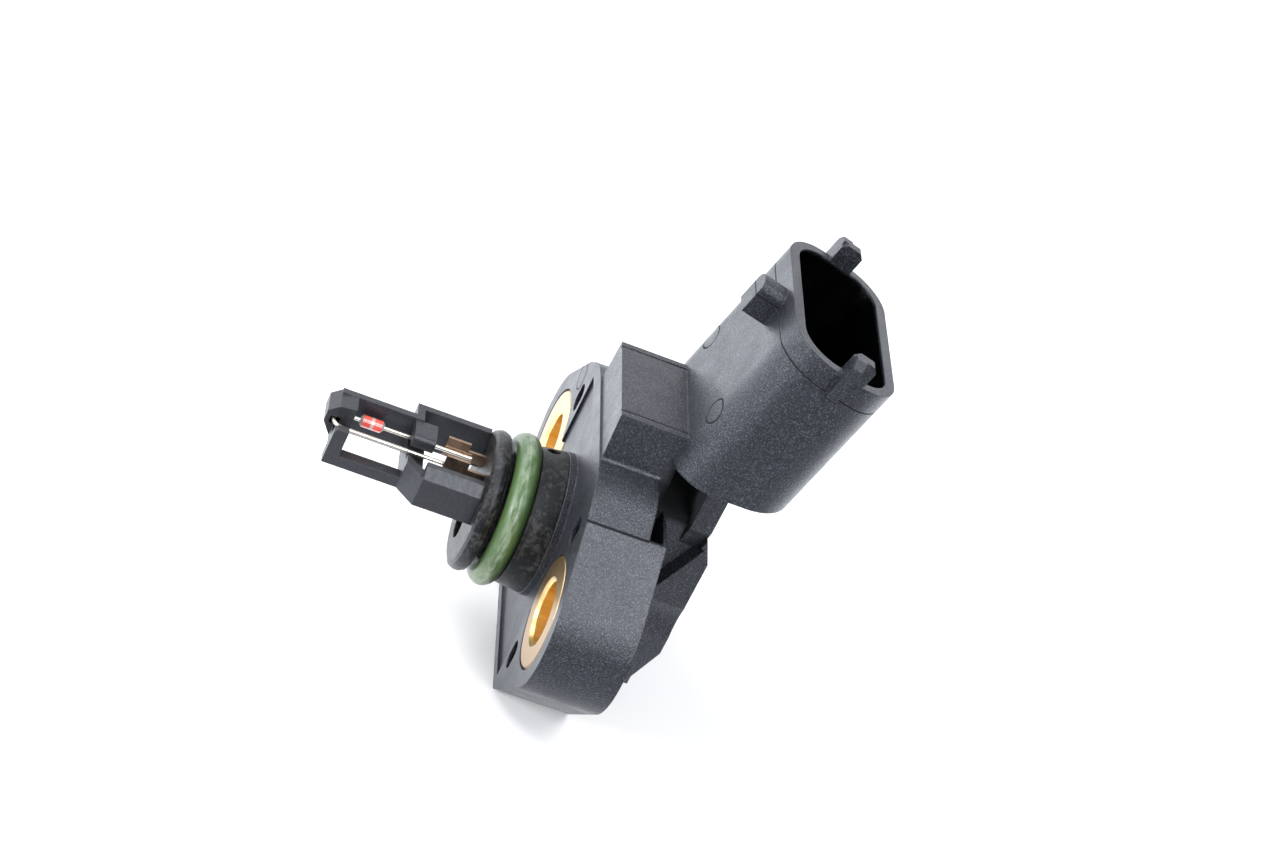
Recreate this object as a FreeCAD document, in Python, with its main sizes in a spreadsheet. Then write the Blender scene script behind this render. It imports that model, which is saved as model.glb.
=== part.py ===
import FreeCAD, Part
import Sketcher
import os
import re

doc = FreeCAD.newDocument("pressure_sensor")
sheet = doc.addObject("Spreadsheet::Sheet", "Sizes")

# Driving sizes in millimetres and degrees. The frame: the port's axis is Y and points to -Y,
# the mounting face is Y = 0, the two screw holes lie along X and the plug socket stands up along Z.
SIZES = {
    # Flange
    "hole_spacing": 30.0,
    "lobe_radius": 7.7,
    "lobe_thickness": 8.2,
    "flange_bottom": 13.3,
    "bottom_half_width": 11.2,
    "parting_half_width": 14.3,
    "parting_height": 11.1,
    "wall_thickness": 6.4,
    "shoulder_inset": 3.6,
    "shoulder_rise": 2.4,
    "recess_depth": 0.3,
    "recess_half_width": 10.2,
    "recess_bottom": 12.3,
    "recess_top": 12.0,
    "core_hole_across": 11.9,
    "core_hole_up": 8.1,
    "core_hole_width": 2.0,
    "core_hole_height": 3.1,
    "core_hole_depth": 4.0,
    "core_slot_depth": 3.5,
    "core_skin": 0.3,
    "shoulder_round": 6.0,
    # Solid block between the flange and the socket
    "block_foot_half_width": 7.4,
    "block_foot_rise": 0.4,
    "block_top_half_width": 6.7,
    "block_height": 18.9,
    "block_front": 0.2,
    "block_back": 7.4,
    "block_foot_round": 0.4,
    "block_groove_inset": 1.0,
    "block_groove": 0.25,
    # Rear tub that holds the circuit
    "tub_half_width": 7.9,
    "tub_bottom": 9.8,
    "tub_top": 11.05,
    "tub_back": 14.1,
    "cheek_reach": 1.5,
    "cheek_lean_height": 9.3,
    "cheek_lean_front": 8.2,
    "cheek_lean_back": 12.7,
    "cheek_lean_foot": 0.4,
    "cheek_slant": 0.5,
    "rear_wall_front": 10.8,
    "rear_wall_back": 13.0,
    "rear_wall_half_width": 9.2,
    "chamber_half_width": 6.3,
    "chamber_bottom": 7.2,
    "chamber_top": 8.2,
    "chamber_floor": 6.8,
    "shelf_foot": 6.5,
    "shelf_floor": 10.0,
    "lid_half_width": 6.8,
    "lid_bottom": 7.6,
    "lid_top": 8.6,
    "lid_front": 11.2,
    "lid_thickness": 1.2,
    "lid_corner": 1.6,
    "glue_gap": 0.4,
    # Plug socket, which leans back from the Z axis
    "socket_lean": 14.0,
    "socket_half_width": 11.2,
    "socket_front": 2.4,
    "socket_back": 14.3,
    "socket_mouth": 36.6,
    "socket_foot": 15.0,
    "socket_base_height": 16.3,
    "socket_front_corner": 4.6,
    "socket_back_corner": 4.4,
    "socket_wall": 1.1,
    "socket_floor": 21.5,
    "catch_half_width": 1.3,
    "catch_start": 31.95,
    "catch_length": 3.8,
    "catch_height": 2.7,
    "wing_front": 7.55,
    "wing_width": 2.55,
    "wing_end": 39.0,
    "wing_bevel": 0.5,
    "rib_start": 33.9,
    "rib_width": 1.1,
    "rib_height": 1.1,
    "rib_bevel": 0.75,
    # Brass bushes
    "bush_radius": 5.9,
    "bush_bore_radius": 3.25,
    "bush_length": 8.3,
    "bush_edge": 0.35,
    # Port stem
    "collar_radius": 7.55,
    "collar_front": 0.5,
    "stem_tube_radius": 5.6,
    "stem_root_radius": 7.45,
    "stem_nose_radius": 7.15,
    "gland_start": 3.25,
    "gland_end": 6.35,
    "disk_radius": 7.35,
    "disk_face": 8.1,
    "disk_rim": 0.7,
    "port_bore_radius": 1.8,
    "port_bore_drop": 3.1,
    "dimple_radius": 0.7,
    "dimple_middle": 2.0,
    "dimple_across": 2.2,
    # Seal ring
    "seal_section": 2.62,
    "seal_outer_radius": 8.0,
    # Probe cage
    "cage_bottom": 0.1,
    "cage_top": 5.25,
    "cage_half_width": 5.0,
    "cage_tip_half_width": 3.0,
    "cage_step_start": 14.2,
    "cage_step_end": 16.0,
    "cage_tip": 23.8,
    "nose_overhang": 1.0,
    "peg_depth": 1.5,
    "peg_bottom": 1.0,
    "peg_height": 2.4,
    "peg_clearance": 0.05,
    "side_block_width": 1.7,
    "side_block_top": 4.35,
    "side_block_bevel": 1.0,
    "rail_width": 1.4,
    "rail_height": 1.2,
    "post_length": 1.4,
    "post_top": 4.2,
    "post_width": 0.9,
    "post_corner": 1.0,
    "cage_wall": 0.8,
    "cage_wall_foot": 0.9,
    "web_top": 2.7,
    "web_roof_foot": 3.75,
    "web_roof_top": 5.1,
    "web_roof_reach": 0.8,
    "web_roof_length": 2.3,
    "web_roof_round": 0.5,
    "nose_reach": 0.2,
    "nose_floor": 2.9,
    "nose_foot": 1.5,
    "nose_length": 2.7,
    "nose_slot_depth": 1.9,
    "nose_slot_wall": 0.5,
    "nose_slot_length": 1.0,
    "wire_channel": 1.0,
    # Thermistor and its terminals
    "lead_pitch": 2.54,
    "lead_height": 3.45,
    "lead_radius": 0.22,
    "bead_radius": 0.64,
    "bead_share": 0.32,
    "bead_place": 0.68,
    "bead_bevel": 0.25,
    "lead_seat": 0.5,
    "bend_setback": 1.1,
    "lead_end": 9.5,
    "blade_thickness": 0.35,
    "blade_bottom": 2.6,
    "blade_height": 2.2,
    "blade_front": 12.4,
    "blade_length": 2.4,
    "tail_bottom": 2.8,
    "tail_height": 1.2,
    "tail_length": 0.8,
    # Plug pins
    "pin_count": 4.0,
    "pin_pitch": 3.5,
    "pin_width": 1.5,
    "pin_thickness": 0.6,
    "pin_seat": 8.3,
    "pin_start": 9.6,
    "pin_end": 31.0,
    "pin_taper": 0.2,
    # Circuit
    "board_half_width": 6.0,
    "board_bottom": 6.9,
    "board_top": 6.0,
    "board_thickness": 0.8,
    "board_hole_radius": 0.8,
    "board_slot_clearance": 0.2,
    "pedestal_side": 3.0,
    "pedestal_height": 1.0,
    "pedestal_bore_radius": 0.5,
    "die_side": 2.6,
    "die_height": 0.5,
    "ring_outer_radius": 3.2,
    "ring_wall": 0.5,
    "ring_height": 2.6,
    "gel_height": 2.2,
    "capacitor_length": 1.6,
    "capacitor_width": 0.8,
    "capacitor_height": 0.8,
    "capacitor_spacing": 3.0,
    "capacitor_row": 4.6,
}
for row, (alias, value) in enumerate(SIZES.items(), start=1):
    sheet.set("A%d" % row, alias)
    sheet.set("B%d" % row, repr(value))
    sheet.setAlias("B%d" % row, alias)
doc.recompute()

nodes = []
PARALLEL = 1e-6
NEAR = 1e-3


def formula(text):
    """The text as an expression of the sheet's cells."""
    return re.sub(r"[a-z][a-z_]+", lambda word: "Sizes." + word[0] if word[0] in SIZES else word[0], text)


def size(text):
    """The present value of a formula."""
    return float(sheet.evalExpression(formula(text)))


def part_node(thing, label):
    """Keep a finished sub-part under the name of its file."""
    thing.Label = label
    doc.recompute()
    nodes.append(thing)
    return thing


def bind(thing, **formulas):
    """Tie properties to formulas; a double underscore stands for a dot."""
    for name, text in formulas.items():
        thing.setExpression(name.replace("__", "."), formula(text))


def sketch_on(body, plane, name, lift="0"):
    """An empty sketch on one of the body's own planes, lifted along that plane's normal."""
    sketch = body.newObject("Sketcher::SketchObject", name)
    own_planes = [feature for feature in body.Origin.OriginFeatures if feature.Role == plane]
    sketch.AttachmentSupport = [(feature, "") for feature in own_planes]
    sketch.MapMode = "FlatFace"
    bind(sketch, AttachmentOffset__Base__z=lift)
    return sketch


def drive(sketch, constraint, text):
    """Add a constraint whose value follows a formula."""
    number = sketch.addConstraint(constraint)
    sketch.setExpression("Constraints[%d]" % number, formula(text))


def hold(sketch, curve, point, across, up):
    """Fix one point of a curve by its two distances from the sketch's origin."""
    drive(sketch, Sketcher.Constraint("DistanceX", -1, 1, curve, point, size(across)), across)
    drive(sketch, Sketcher.Constraint("DistanceY", -1, 1, curve, point, size(up)), up)


def polygon(sketch, corners):
    """A closed outline through corners that are pairs of formulas."""
    points = [FreeCAD.Vector(size(across), size(up), 0) for across, up in corners]
    first = sketch.GeometryCount
    for number, point in enumerate(points):
        sketch.addGeometry(Part.LineSegment(point, points[(number + 1) % len(points)]), False)
    for number, (across, up) in enumerate(corners):
        following = first + (number + 1) % len(points)
        sketch.addConstraint(Sketcher.Constraint("Coincident", first + number, 2, following, 1))
        hold(sketch, first + number, 1, across, up)


def rectangle(sketch, left, right, low, high):
    polygon(sketch, [(left, low), (right, low), (right, high), (left, high)])


def circle(sketch, across, up, radius):
    centre = FreeCAD.Vector(size(across), size(up), 0)
    number = sketch.addGeometry(Part.Circle(centre, FreeCAD.Vector(0, 0, 1), size(radius)), False)
    hold(sketch, number, 3, across, up)
    drive(sketch, Sketcher.Constraint("Radius", number, size(radius)), radius)


def extrude(body, kind, sketch, name, length, reverse=False):
    """A Pad or a Pocket of the sketch; a Pocket has to take material away."""
    before = body.Tip.Shape.Volume if kind == "Pocket" else 0.0
    feature = body.newObject("PartDesign::" + kind, name)
    feature.Profile = sketch
    feature.Reversed = reverse
    bind(feature, Length=length)
    body.Tip = feature
    doc.recompute()
    if kind == "Pocket" and feature.Shape.Volume > before - PARALLEL:
        raise RuntimeError(name + " cuts nothing")
    return feature


def is_whole_circle(edge):
    return edge.Curve.TypeId == "Part::GeomCircle" and len(edge.Vertexes) == 1


def finish_edges(body, kind, name, amount, chosen):
    """A Fillet or a Chamfer on the chosen edges of the body's last feature."""
    base = body.Tip
    edges = ["Edge%d" % (number + 1) for number, edge in enumerate(base.Shape.Edges) if chosen(edge)]
    feature = body.newObject("PartDesign::" + kind, name)
    feature.Base = (base, edges)
    bind(feature, **{"Radius" if kind == "Fillet" else "Size": amount})
    body.Tip = feature
    doc.recompute()
    return feature


def runs_along(edge, direction):
    """Whether a straight edge is parallel to a direction."""
    if edge.Curve.TypeId != "Part::GeomLine":
        return False
    return abs(abs(edge.Curve.Direction.dot(direction)) - 1) < PARALLEL


# Housing: one glass-filled moulding with the flange, the block, the circuit tub and the plug socket
SHOULDER_SIDE = "(parting_half_width - shoulder_inset)"
SHOULDER_TOP = "(parting_height + shoulder_rise)"
BLOCK_FOOT = "(parting_height + shoulder_rise + block_foot_rise)"
CHEEK_SIDE = "(tub_half_width + cheek_reach)"


def lobed_outline(sketch):
    """Flange outline: straight foot, two round lobes about the screw holes and tangent flanks."""
    corner = {}
    for side in (1, -1):
        centre = FreeCAD.Vector(side * size("hole_spacing / 2"), 0, 0)
        foot = FreeCAD.Vector(side * size("bottom_half_width"), -size("flange_bottom"), 0)
        top = FreeCAD.Vector(side * size("parting_half_width"), size("parting_height"), 0)
        low_touch = touch_point(centre, foot, -side)
        high_touch = touch_point(centre, top, side)
        flank_low = sketch.addGeometry(Part.LineSegment(foot, low_touch), False)
        middle = centre + FreeCAD.Vector(side * size("lobe_radius"), 0, 0)
        lobe = sketch.addGeometry(Part.Arc(low_touch, middle, high_touch), False)
        flank_high = sketch.addGeometry(Part.LineSegment(high_touch, top), False)
        start, end = (1, 2) if side > 0 else (2, 1)
        sign = "" if side > 0 else "-"
        hold(sketch, lobe, 3, sign + "hole_spacing / 2", "0")
        drive(sketch, Sketcher.Constraint("Radius", lobe, size("lobe_radius")), "lobe_radius")
        hold(sketch, flank_low, 1, sign + "bottom_half_width", "-flange_bottom")
        hold(sketch, flank_high, 2, sign + "parting_half_width", "parting_height")
        sketch.addConstraint(Sketcher.Constraint("Tangent", flank_low, 2, lobe, start))
        sketch.addConstraint(Sketcher.Constraint("Tangent", flank_high, 1, lobe, end))
        corner[side] = (flank_low, flank_high, foot, top)
    base = sketch.addGeometry(Part.LineSegment(corner[-1][2], corner[1][2]), False)
    roof = sketch.addGeometry(Part.LineSegment(corner[1][3], corner[-1][3]), False)
    sketch.addConstraint(Sketcher.Constraint("Coincident", base, 1, corner[-1][0], 1))
    sketch.addConstraint(Sketcher.Constraint("Coincident", base, 2, corner[1][0], 1))
    sketch.addConstraint(Sketcher.Constraint("Coincident", roof, 1, corner[1][1], 2))
    sketch.addConstraint(Sketcher.Constraint("Coincident", roof, 2, corner[-1][1], 2))


def touch_point(centre, outside, turn):
    """Where a line from an outside point touches the lobe's circle."""
    along = outside - centre
    reach = along.Length
    along.normalize()
    radius = size("lobe_radius")
    inward = radius * radius / reach
    sideways = radius * (1 - (radius / reach) ** 2) ** 0.5
    across = FreeCAD.Vector(along.y, -along.x, 0) * turn
    return centre + along * inward + across * sideways


def tilted_sketch(body, name, distance, lean="socket_lean"):
    """A sketch square to an axis that leans back from Z, at a distance along it; its y points rearward."""
    sketch = sketch_on(body, "XY_Plane", name)
    tilt = FreeCAD.Rotation(FreeCAD.Vector(1, 0, 0), -1)
    sketch.AttachmentOffset = FreeCAD.Placement(FreeCAD.Vector(), tilt)
    bind(
        sketch,
        AttachmentOffset__Base__y="(%s) * sin(%s)" % (distance, lean),
        AttachmentOffset__Base__z="(%s) * cos(%s)" % (distance, lean),
        AttachmentOffset__Rotation__Angle="-(%s)" % lean,
    )
    return sketch


CHEEK_LEAN = "atan((cheek_lean_back - cheek_lean_front) / (cheek_lean_height + cheek_lean_foot))"
CHEEK_START = "(cheek_lean_front * sin({0}) - cheek_lean_foot * cos({0}))".format(CHEEK_LEAN)
CHEEK_FACE = "(cheek_lean_front * cos({0}) + cheek_lean_foot * sin({0}))".format(CHEEK_LEAN)
CHEEK_RISE = "((cheek_lean_height + cheek_lean_foot) / cos({0}))".format(CHEEK_LEAN)
LEAN = FreeCAD.Rotation(FreeCAD.Vector(1, 0, 0), -size("socket_lean"))
SOCKET_AXIS = LEAN.multVec(FreeCAD.Vector(0, 0, 1))
REARWARD = LEAN.multVec(FreeCAD.Vector(0, 1, 0))


def pin_place(number):
    """How far a pin's middle lies from the socket's middle, as a formula."""
    return "(%d - (pin_count - 1) / 2) * pin_pitch" % number


def add_socket(body):
    """The leaning socket as a solid, cut off level at its base."""
    socket = tilted_sketch(body, "SocketOutline", "socket_foot")
    rectangle(socket, "-socket_half_width", "socket_half_width", "socket_front", "socket_back")
    extrude(body, "Pad", socket, "Socket", "socket_mouth - socket_foot")
    middle = size("(socket_front + socket_back) / 2")
    for kind, picks in (("front", lambda depth: depth < middle), ("back", lambda depth: depth > middle)):
        finish_edges(
            body, "Fillet", "Socket%sCorners" % kind.title(), "socket_%s_corner" % kind,
            lambda edge: runs_along(edge, SOCKET_AXIS) and picks(edge.CenterOfMass.dot(REARWARD))
            and abs(abs(edge.CenterOfMass.x) - size("socket_half_width")) < NEAR,
        )
    base_cut = sketch_on(body, "XY_Plane", "SocketBaseLine", "socket_base_height")
    rectangle(
        base_cut, "-2 * socket_half_width", "2 * socket_half_width", "-socket_back", "3 * socket_back",
    )
    extrude(body, "Pocket", base_cut, "SocketBase", "socket_base_height")


def add_flange(body):
    """The lobed flange, its sloping shoulder and the block above it."""
    flange = sketch_on(body, "XZ_Plane", "FlangeOutline")
    lobed_outline(flange)
    extrude(body, "Pad", flange, "Flange", "lobe_thickness", True)
    shoulder = sketch_on(body, "XZ_Plane", "ShoulderOutline")
    polygon(shoulder, [
        ("-parting_half_width", "parting_height"), ("parting_half_width", "parting_height"),
        (SHOULDER_SIDE, SHOULDER_TOP), ("block_foot_half_width", BLOCK_FOOT),
        ("-block_foot_half_width", BLOCK_FOOT), ("-" + SHOULDER_SIDE, SHOULDER_TOP),
    ])
    extrude(body, "Pad", shoulder, "Shoulder", "wall_thickness", True)
    block = sketch_on(body, "XZ_Plane", "BlockOutline", "-block_front")
    polygon(block, [
        ("-block_foot_half_width", "parting_height"), ("block_foot_half_width", "parting_height"),
        ("block_foot_half_width", BLOCK_FOOT), ("block_top_half_width", "block_height"),
        ("-block_top_half_width", "block_height"), ("-block_foot_half_width", BLOCK_FOOT),
    ])
    extrude(body, "Pad", block, "Block", "block_back - block_front", True)
    finish_edges(
        body, "Fillet", "ShoulderEdges", "shoulder_round",
        lambda edge: lies_at(edge, SHOULDER_SIDE, SHOULDER_TOP),
    )
    finish_edges(
        body, "Fillet", "BlockFoot", "block_foot_round",
        lambda edge: lies_at(edge, "block_foot_half_width", BLOCK_FOOT)
        and edge.Length > size("wall_thickness / 2"),
    )


def cut_block_grooves(body):
    groove = sketch_on(body, "XY_Plane", "BlockGrooves", "block_height")
    for sign in ("", "-"):
        rectangle(
            groove, sign + "(block_top_half_width - block_groove_inset)",
            sign + "(block_top_half_width - block_groove_inset + block_groove)",
            "block_front - 0.1", "block_back - block_groove",
        )
    extrude(body, "Pocket", groove, "Grooves", "block_groove")


def add_tub(body):
    """The rear tub with its two leaning cheeks."""
    tub = sketch_on(body, "XZ_Plane", "TubOutline", "-wall_thickness")
    rectangle(tub, "-tub_half_width", "tub_half_width", "-tub_bottom", "tub_top")
    extrude(body, "Pad", tub, "Tub", "rear_wall_back - wall_thickness", True)
    cheek = sketch_on(body, "YZ_Plane", "CheekOutline", "-" + CHEEK_SIDE)
    polygon(cheek, [
        ("wall_thickness", "-tub_bottom"), ("wall_thickness", "-cheek_lean_foot"),
        ("cheek_lean_front", "-cheek_lean_foot"), ("cheek_lean_back", "cheek_lean_height"),
        ("rear_wall_back", "cheek_lean_height + 0.9"), ("tub_back", "cheek_lean_height - 1.6"),
        ("tub_back", "5.8 - tub_bottom"), ("tub_back - 2.4", "-tub_bottom"),
    ])
    extrude(body, "Pad", cheek, "Cheeks", "2 * " + CHEEK_SIDE)
    slant = tilted_sketch(body, "CheekSlants", CHEEK_START, CHEEK_LEAN)
    clear = "(%s + 0.2)" % CHEEK_SIDE
    for sign in ("", "-"):
        polygon(slant, [
            (sign + "tub_half_width", CHEEK_FACE), (sign + clear, CHEEK_FACE),
            (sign + clear, CHEEK_FACE + " + cheek_slant"),
        ])
    extrude(body, "Pocket", slant, "CheekEdges", CHEEK_RISE, True)


def add_rear_wall(body):
    """The wall that joins the tub to the socket and holds the pins."""
    rear_wall = sketch_on(body, "XZ_Plane", "RearWallOutline", "-rear_wall_front")
    polygon(rear_wall, [
        ("-tub_half_width", "cheek_lean_height - 1"), ("tub_half_width", "cheek_lean_height - 1"),
        ("rear_wall_half_width", "tub_top"), ("rear_wall_half_width", "socket_base_height + 1"),
        ("-rear_wall_half_width", "socket_base_height + 1"), ("-rear_wall_half_width", "tub_top"),
    ])
    extrude(body, "Pad", rear_wall, "RearWall", "rear_wall_back - rear_wall_front", True)


def add_catch(body):
    """The plug's catch on the front of the socket, rounded towards the mouth."""
    catch = tilted_sketch(body, "CatchOutline", "catch_start")
    rectangle(
        catch, "-catch_half_width", "catch_half_width", "socket_front - catch_height", "socket_front + 1",
    )
    extrude(body, "Pad", catch, "Catch", "catch_length")
    round_end = size("catch_start + catch_length")
    finish_edges(
        body, "Fillet", "CatchEnd", "0.9 * catch_half_width",
        lambda edge: runs_along(edge, REARWARD)
        and abs(edge.CenterOfMass.dot(SOCKET_AXIS) - round_end) < NEAR
        and abs(abs(edge.CenterOfMass.x) - size("catch_half_width")) < NEAR,
    )


def add_wings(body):
    """Two guide plates that stand out of the mouth, each with a rib on its outside."""
    wings = tilted_sketch(body, "WingOutlines", "socket_mouth - 1")
    ribs = tilted_sketch(body, "RibOutlines", "rib_start")
    for sign in ("", "-"):
        rectangle(
            wings, sign + "(socket_half_width - socket_wall - 0.1)", sign + "socket_half_width",
            "wing_front", "wing_front + wing_width",
        )
        rectangle(
            ribs, sign + "(socket_half_width - socket_wall / 2)", sign + "(socket_half_width + rib_height)",
            "wing_front", "wing_front + rib_width",
        )
    extrude(body, "Pad", wings, "Wings", "wing_end - socket_mouth + 1")
    tip = size("wing_end")
    finish_edges(
        body, "Chamfer", "WingTips", "wing_bevel",
        lambda edge: runs_along(edge, FreeCAD.Vector(1, 0, 0))
        and abs(edge.CenterOfMass.dot(SOCKET_AXIS) - tip) < NEAR,
    )
    extrude(body, "Pad", ribs, "Ribs", "wing_end - rib_start")
    finish_edges(
        body, "Chamfer", "RibTips", "rib_bevel",
        lambda edge: runs_along(edge, REARWARD) and abs(edge.CenterOfMass.dot(SOCKET_AXIS) - tip) < NEAR
        and abs(abs(edge.CenterOfMass.x) - size("socket_half_width + rib_height")) < NEAR,
    )


def shape_face(body):
    """The recess round the port and the low collar in it."""
    recess = sketch_on(body, "XZ_Plane", "RecessOutline")
    rectangle(recess, "-recess_half_width", "recess_half_width", "-recess_bottom", "recess_top")
    extrude(body, "Pocket", recess, "Recess", "recess_depth")
    collar = sketch_on(body, "XZ_Plane", "CollarOutline", "-recess_depth")
    circle(collar, "0", "0", "collar_radius")
    extrude(body, "Pad", collar, "Collar", "recess_depth + collar_front")


def cut_core_holes(body):
    """Four blind holes in the face and two in the lobes' tops, which keep the walls even."""
    corners = (("NearHigh", "", ""), ("FarHigh", "-", ""), ("NearLow", "", "-"), ("FarLow", "-", "-"))
    for name, side, up in corners:
        core = sketch_on(body, "XZ_Plane", name + "CoreOutline")
        across, height = side + "core_hole_across", up + "core_hole_up"
        rounded_outline(
            core, across + " - core_hole_width / 2", across + " + core_hole_width / 2",
            height + " - core_hole_height / 2", height + " + core_hole_height / 2",
            "0.48 * core_hole_width", "0.48 * core_hole_width",
        )
        extrude(body, "Pocket", core, name + "CoreHole", "core_hole_depth")
    slots = sketch_on(body, "XY_Plane", "CoreSlots", "parting_height")
    for sign in ("", "-"):
        rectangle(
            slots, sign + "(tub_half_width + core_skin)", sign + "(parting_half_width - core_skin)",
            "wall_thickness", "lobe_thickness - core_skin",
        )
    extrude(body, "Pocket", slots, "CoreSlotPair", "core_slot_depth")


def cut_seats(body):
    """Round seats for the two bushes and the stem."""
    holes = sketch_on(body, "XZ_Plane", "BushHoles")
    circle(holes, "hole_spacing / 2", "0", "bush_radius")
    circle(holes, "-hole_spacing / 2", "0", "bush_radius")
    extrude(body, "Pocket", holes, "BushSeats", "2 * lobe_thickness")
    stem_hole = sketch_on(body, "XZ_Plane", "StemHole", "collar_front")
    circle(stem_hole, "0", "0", "stem_tube_radius")
    extrude(body, "Pocket", stem_hole, "StemSeat", "collar_front + chamber_floor")


def cut_chamber(body):
    """The circuit's chamber with its shelf and the seat of the lid."""
    chamber = sketch_on(body, "XZ_Plane", "ChamberOutline", "-chamber_floor")
    rectangle(chamber, "-chamber_half_width", "chamber_half_width", "-chamber_bottom", "shelf_foot")
    extrude(body, "Pocket", chamber, "Chamber", "tub_back - chamber_floor")
    shelf = sketch_on(body, "XZ_Plane", "ShelfOutline", "-shelf_floor")
    rectangle(shelf, "-chamber_half_width", "chamber_half_width", "shelf_foot - 1", "chamber_top")
    extrude(body, "Pocket", shelf, "Shelf", "tub_back - shelf_floor")
    lid_seat = sketch_on(body, "XZ_Plane", "LidSeatOutline", "-lid_front")
    lid_outline(lid_seat, "glue_gap")
    extrude(body, "Pocket", lid_seat, "LidSeat", "tub_back - lid_front")


def hollow_socket(body):
    """The plug's cavity and the slots that the pins fill."""
    cavity = tilted_sketch(body, "CavityOutline", "socket_floor")
    socket_cavity(cavity)
    extrude(body, "Pocket", cavity, "Cavity", "wing_end - socket_floor + 1", True)
    for number in range(int(size("pin_count"))):
        slot = tilted_sketch(body, "PinSlotOutline%d" % (number + 1), "pin_start")
        pin_outline(slot, number)
        extrude(body, "Pocket", slot, "PinSlot%d" % (number + 1), "socket_floor - pin_start + 0.01", True)


def make_housing():
    body = doc.addObject("PartDesign::Body", "Housing")
    for step in (
        add_socket, add_flange, cut_block_grooves, add_tub, add_rear_wall, add_catch, add_wings,
        shape_face, cut_core_holes, cut_seats, cut_chamber, hollow_socket,
    ):
        step(body)
    return body


def lies_at(edge, across, up):
    """Whether an edge runs front to back at a place to either side of the middle."""
    if not runs_along(edge, FreeCAD.Vector(0, 1, 0)):
        return False
    middle = edge.CenterOfMass
    return abs(abs(middle.x) - size(across)) < NEAR and abs(middle.z - size(up)) < NEAR


def rounded_outline(sketch, left, right, low, high, low_corner, high_corner):
    """A rectangle with tangent corner arcs; the two low and the two high corners have their own radius."""
    west, east, south, north = size(left), size(right), size(low), size(high)
    below, above = size(low_corner), size(high_corner)
    spots = [
        (west + below, south), (east - below, south), (east, south + below), (east, north - above),
        (east - above, north), (west + above, north), (west, north - above), (west, south + below),
    ]
    spots = [FreeCAD.Vector(across, up, 0) for across, up in spots]
    lines = [sketch.addGeometry(Part.LineSegment(spots[n], spots[n + 1]), False) for n in range(0, 8, 2)]
    corners = []
    for number, (radius, turn_x, turn_y) in enumerate((
        (below, -1, 1), (above, -1, -1), (above, 1, -1), (below, 1, 1),
    )):
        start, end = spots[2 * number + 1], spots[(2 * number + 2) % 8]
        corner = FreeCAD.Vector((start.x, end.x)[number % 2 == 0], (start.y, end.y)[number % 2], 0)
        centre = corner + FreeCAD.Vector(turn_x * radius, turn_y * radius, 0)
        middle = centre + (corner - centre).normalize() * radius
        corners.append(sketch.addGeometry(Part.Arc(start, middle, end), False))
    for number in range(4):
        sketch.addConstraint(Sketcher.Constraint("Tangent", lines[number], 2, corners[number], 1))
        sketch.addConstraint(Sketcher.Constraint("Tangent", corners[number], 2, lines[(number + 1) % 4], 1))
    for number, text in ((0, low_corner), (1, high_corner), (2, high_corner), (3, low_corner)):
        drive(sketch, Sketcher.Constraint("Radius", corners[number], size(text)), text)
    for line, text in ((0, low), (1, right), (2, high), (3, left)):
        kind = ("DistanceY", "DistanceX")[line % 2]
        drive(sketch, Sketcher.Constraint(kind, -1, 1, lines[line], 1, size(text)), text)


def lid_outline(sketch, play):
    """Outline of the lid, or of the seat and glue round it when there is play."""
    rounded_outline(
        sketch, "-lid_half_width - %s" % play, "lid_half_width + %s" % play, "-lid_bottom - %s" % play,
        "lid_top + %s" % play, "lid_corner + %s" % play, "lid_corner + %s" % play,
    )


def socket_cavity(sketch):
    rounded_outline(
        sketch, "socket_wall - socket_half_width", "socket_half_width - socket_wall",
        "socket_front + socket_wall", "socket_back - socket_wall",
        "socket_front_corner - socket_wall", "socket_back_corner - socket_wall",
    )


def pin_outline(sketch, number):
    place = pin_place(number)
    rectangle(
        sketch, place + " - pin_width / 2", place + " + pin_width / 2",
        "pin_seat - pin_thickness / 2", "pin_seat + pin_thickness / 2",
    )


part_node(make_housing(), "housing")


# Screw bushes: brass tubes pressed into the two lobes
def make_bush(name, side):
    body = doc.addObject("PartDesign::Body", name)
    outline = sketch_on(body, "XZ_Plane", name + "Outline")
    sign = "" if side > 0 else "-"
    circle(outline, sign + "hole_spacing / 2", "0", "bush_radius")
    circle(outline, sign + "hole_spacing / 2", "0", "bush_bore_radius")
    extrude(body, "Pad", outline, name + "Tube", "bush_length", True)
    finish_edges(body, "Chamfer", name + "Edges", "bush_edge", is_whole_circle)
    return body


part_node(make_bush("BushRight", 1), "bush_right")
part_node(make_bush("BushLeft", -1), "bush_left")


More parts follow.
